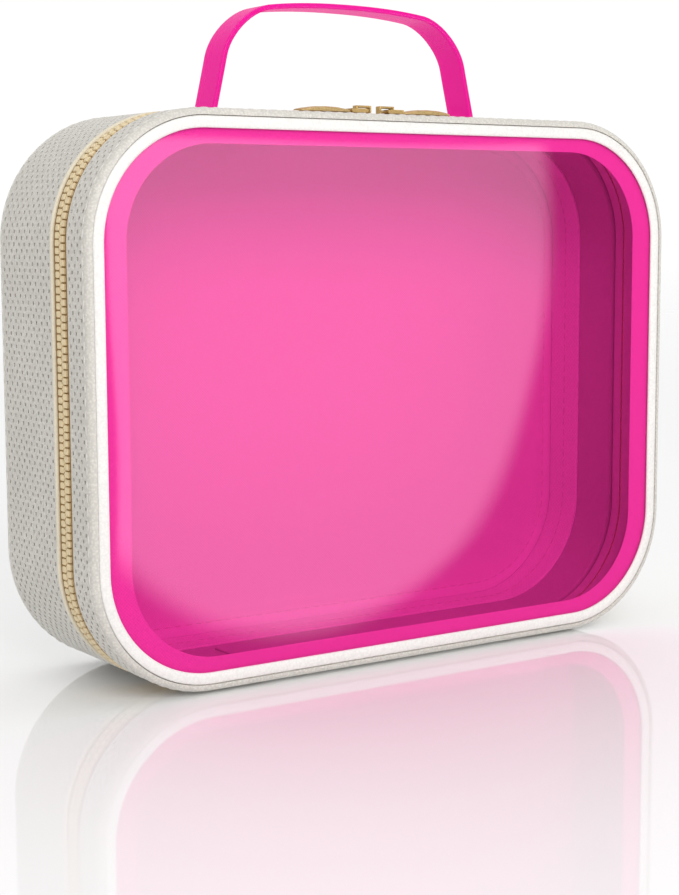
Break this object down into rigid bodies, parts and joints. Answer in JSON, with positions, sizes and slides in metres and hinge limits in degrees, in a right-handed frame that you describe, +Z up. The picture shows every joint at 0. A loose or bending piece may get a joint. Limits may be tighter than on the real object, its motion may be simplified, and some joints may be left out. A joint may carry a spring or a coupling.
{
  "type": "makeup train case",
  "caption": "Zip-round soft makeup train case: clear tinted front lid hinged along the bottom, padded perforated side walls, strap handle on top.",
  "frame": {"origin": "on the surface the case stands on, under the middle of the case", "axes": "+X to the right seen from the clear front, +Y from the clear front to the back, +Z up"},
  "size_m": [0.248, 0.0674, 0.2347],
  "materials": {
    "leatherette": "perforated off-white leatherette",
    "padding": "foam padding",
    "lining": "smooth pale lining cloth",
    "binding": "woven white seam tape",
    "welt": "smooth white leatherette",
    "board": "grey stiffener board",
    "zip_tape": "cream woven zipper tape",
    "gold_metal": "light gold metal",
    "pull_tab": "gold textured pull tab",
    "handle_pvc": "glossy translucent pink PVC strap",
    "window_pvc": "glossy translucent pink PVC sheet"
  },
  "bodies": {
    "case_body": {"rear_gusset_skin": "leatherette", "rear_gusset_foam": "padding", "rear_gusset_lining": "lining", "rear_welt": "welt", "back_panel_skin": "leatherette", "back_panel_foam": "padding", "back_panel_board": "board", "back_panel_lining": "lining", "rear_seam_binding": "binding", "zipper_tape_rear": "zip_tape", "zipper_teeth_rear": "gold_metal", "zipper_stops_rear": "gold_metal", "hinge_panel_rear": "leatherette", "hinge_lining_rear": "lining", "handle_root_left": "handle_pvc", "handle_root_right": "handle_pvc", "handle_plates": "board", "handle_rivets": "gold_metal"},
    "lid": {"front_gusset_skin": "leatherette", "front_gusset_foam": "padding", "front_gusset_lining": "lining", "front_welt": "welt", "window_sheet": "window_pvc", "window_allowance": "welt", "zipper_tape_lid": "zip_tape", "zipper_teeth_lid": "gold_metal", "zipper_stops_lid": "gold_metal", "hinge_panel_lid": "leatherette", "hinge_lining_lid": "lining"},
    "handle": {"handle_strap": "handle_pvc"},
    "slider_left": {"slider_body_left": "gold_metal", "slider_bridge_left": "gold_metal"},
    "pull_left": {"pull_ring_left": "gold_metal", "pull_tab_left": "pull_tab"},
    "slider_right": {"slider_body_right": "gold_metal", "slider_bridge_right": "gold_metal"},
    "pull_right": {"pull_ring_right": "gold_metal", "pull_tab_right": "pull_tab"}
  },
  "joints": [
    {"name": "lid_hinge", "type": "hinge", "parent": "case_body", "child": "lid", "pos_m": [0, -0.0137, 0], "axis": [1, 0, 0], "range_deg": [0, 160]},
    {"name": "handle_fold", "type": "hinge", "parent": "case_body", "child": "handle", "pos_m": [0, 0.00795, 0.2013], "axis": [1, 0, 0], "range_deg": [-35, 35]},
    {"name": "slider_left_run", "type": "slide", "parent": "case_body", "child": "slider_left", "axis": [-1, 0, 0], "range_m": [0, 0.066]},
    {"name": "slider_right_run", "type": "slide", "parent": "case_body", "child": "slider_right", "axis": [1, 0, 0], "range_m": [0, 0.066]},
    {"name": "pull_left_flip", "type": "hinge", "parent": "slider_left", "child": "pull_left", "pos_m": [-0.005, -0.0137, 0.19605], "axis": [0, 1, 0], "range_deg": [0, 150]},
    {"name": "pull_right_flip", "type": "hinge", "parent": "slider_right", "child": "pull_right", "pos_m": [0.005, -0.0137, 0.19605], "axis": [0, -1, 0], "range_deg": [0, 150]}
  ]
}
